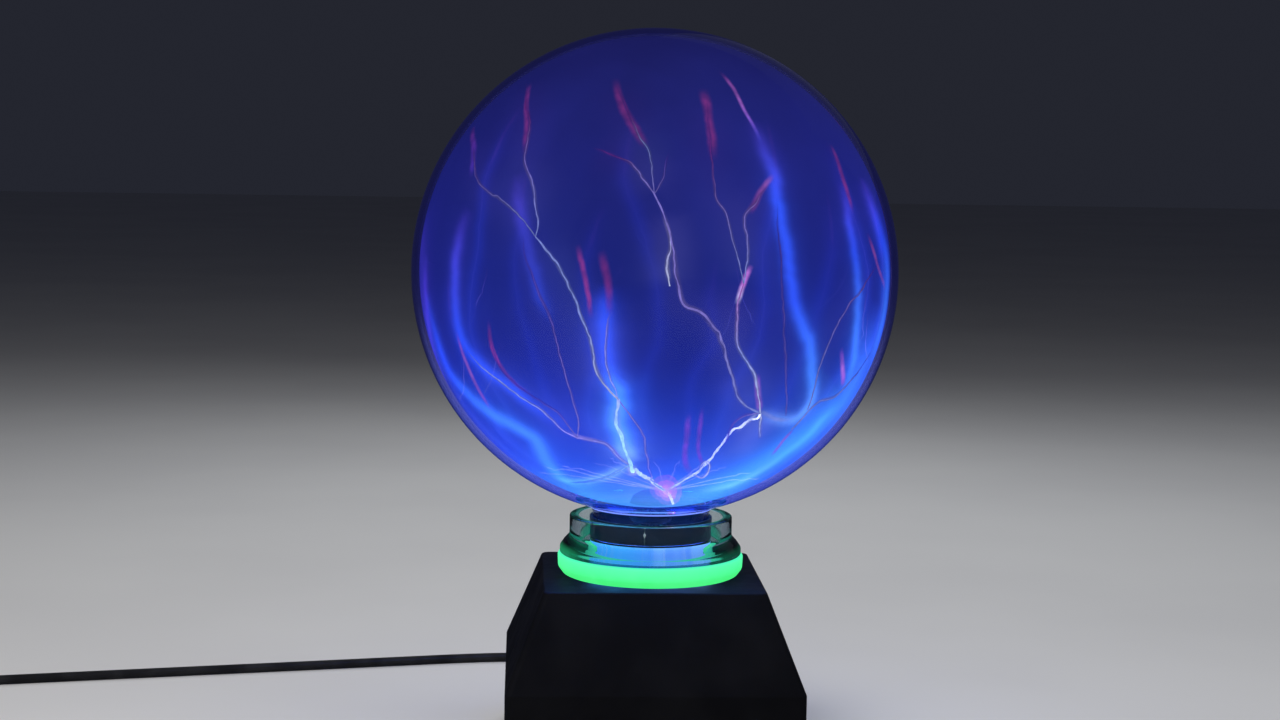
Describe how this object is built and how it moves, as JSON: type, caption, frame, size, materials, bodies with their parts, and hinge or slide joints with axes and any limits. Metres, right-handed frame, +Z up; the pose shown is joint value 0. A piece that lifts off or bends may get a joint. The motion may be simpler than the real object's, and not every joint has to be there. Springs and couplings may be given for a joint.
{
  "type": "plasma ball",
  "caption": "Plasma ball: gas-filled glass globe on a square black base, with a green edge-lit clear collar, rear sound controls and a plug-in adapter on a cord.",
  "frame": {"origin": "on the table, under the middle of the globe", "axes": "+Z up, -Y to the front of the base, +Y to the rear with the controls and the power inlet"},
  "size_m": [0.4695, 0.2641, 0.3055],
  "materials": {
    "globe_glass": "clear blown glass, glowing violet-blue inside",
    "clear_acrylic": "clear polished acrylic, edge-lit green",
    "light_diffuser": "translucent, lit green from inside",
    "led_lens": "green LED epoxy",
    "dark_band": "glossy dark tape",
    "silver_foil": "bright metal foil",
    "black_plastic": "moulded, fine satin grain",
    "control_plastic": "moulded, fluted",
    "black_rubber": "matt",
    "cord_vinyl": "soft PVC, slight sheen",
    "steel": "zinc-plated",
    "brass": "nickel-free bright brass",
    "aluminium": "extruded, satin",
    "circuit_board": "green solder mask",
    "ferrite": "sintered, dark grey",
    "copper_wire": "enamelled copper wire",
    "winding_tape": "polyester tape",
    "bobbin_plastic": "moulded",
    "red_insulation": "silicone and epoxy",
    "capacitor_sleeve": "shrink sleeve"
  },
  "bodies": {
    "base": {"glass_globe": "globe_glass", "glass_stem": "globe_glass", "clear_collar": "clear_acrylic", "light_ring": "light_diffuser", "led_1": "led_lens", "led_2": "led_lens", "led_3": "led_lens", "led_4": "led_lens", "neck_band": "dark_band", "neck_foil": "silver_foil", "housing": "black_plastic", "base_plate": "black_plastic", "neck_clamp": "black_plastic", "adapter_body": "black_plastic", "dc_jack": "black_plastic", "timer_ic": "black_plastic", "power_transistor": "black_plastic", "foot_1": "black_rubber", "foot_2": "black_rubber", "foot_3": "black_rubber", "foot_4": "black_rubber", "cord_lead": "cord_vinyl", "cord_coil": "cord_vinyl", "cord_tail": "cord_vinyl", "plug_body": "cord_vinyl", "adapter_relief": "cord_vinyl", "electrode": "steel", "feedthrough_pin": "steel", "clamp_screw_1": "steel", "clamp_screw_2": "steel", "clamp_screw_3": "steel", "clamp_screw_4": "steel", "housing_screw_1": "steel", "housing_screw_2": "steel", "housing_screw_3": "steel", "housing_screw_4": "steel", "board_screw_1": "steel", "board_screw_2": "steel", "potentiometer": "steel", "switch_body": "steel", "jack_nut": "steel", "plug_barrel": "steel", "contact_cap": "brass", "adapter_blade_1": "brass", "adapter_blade_2": "brass", "heatsink": "aluminium", "microphone": "aluminium", "main_board": "circuit_board", "led_board": "circuit_board", "core_half_front": "ferrite", "core_half_rear": "ferrite", "primary_winding": "copper_wire", "secondary_winding": "winding_tape", "bobbin": "bobbin_plastic", "hv_lead": "red_insulation", "film_capacitor": "red_insulation", "electrolytic_capacitor": "capacitor_sleeve"},
    "knob": {"sensitivity_knob": "control_plastic", "pot_shaft": "steel"},
    "slider": {"mode_slider": "control_plastic"}
  },
  "joints": [
    {"name": "sensitivity_turn", "type": "hinge", "parent": "base", "child": "knob", "pos_m": [-0.03, 0.0617, 0.019], "axis": [0, 1, 0], "range_deg": [-140, 140]},
    {"name": "mode_slide", "type": "slide", "parent": "base", "child": "slider", "axis": [1, 0, 0], "range_m": [0, 0.006]}
  ]
}
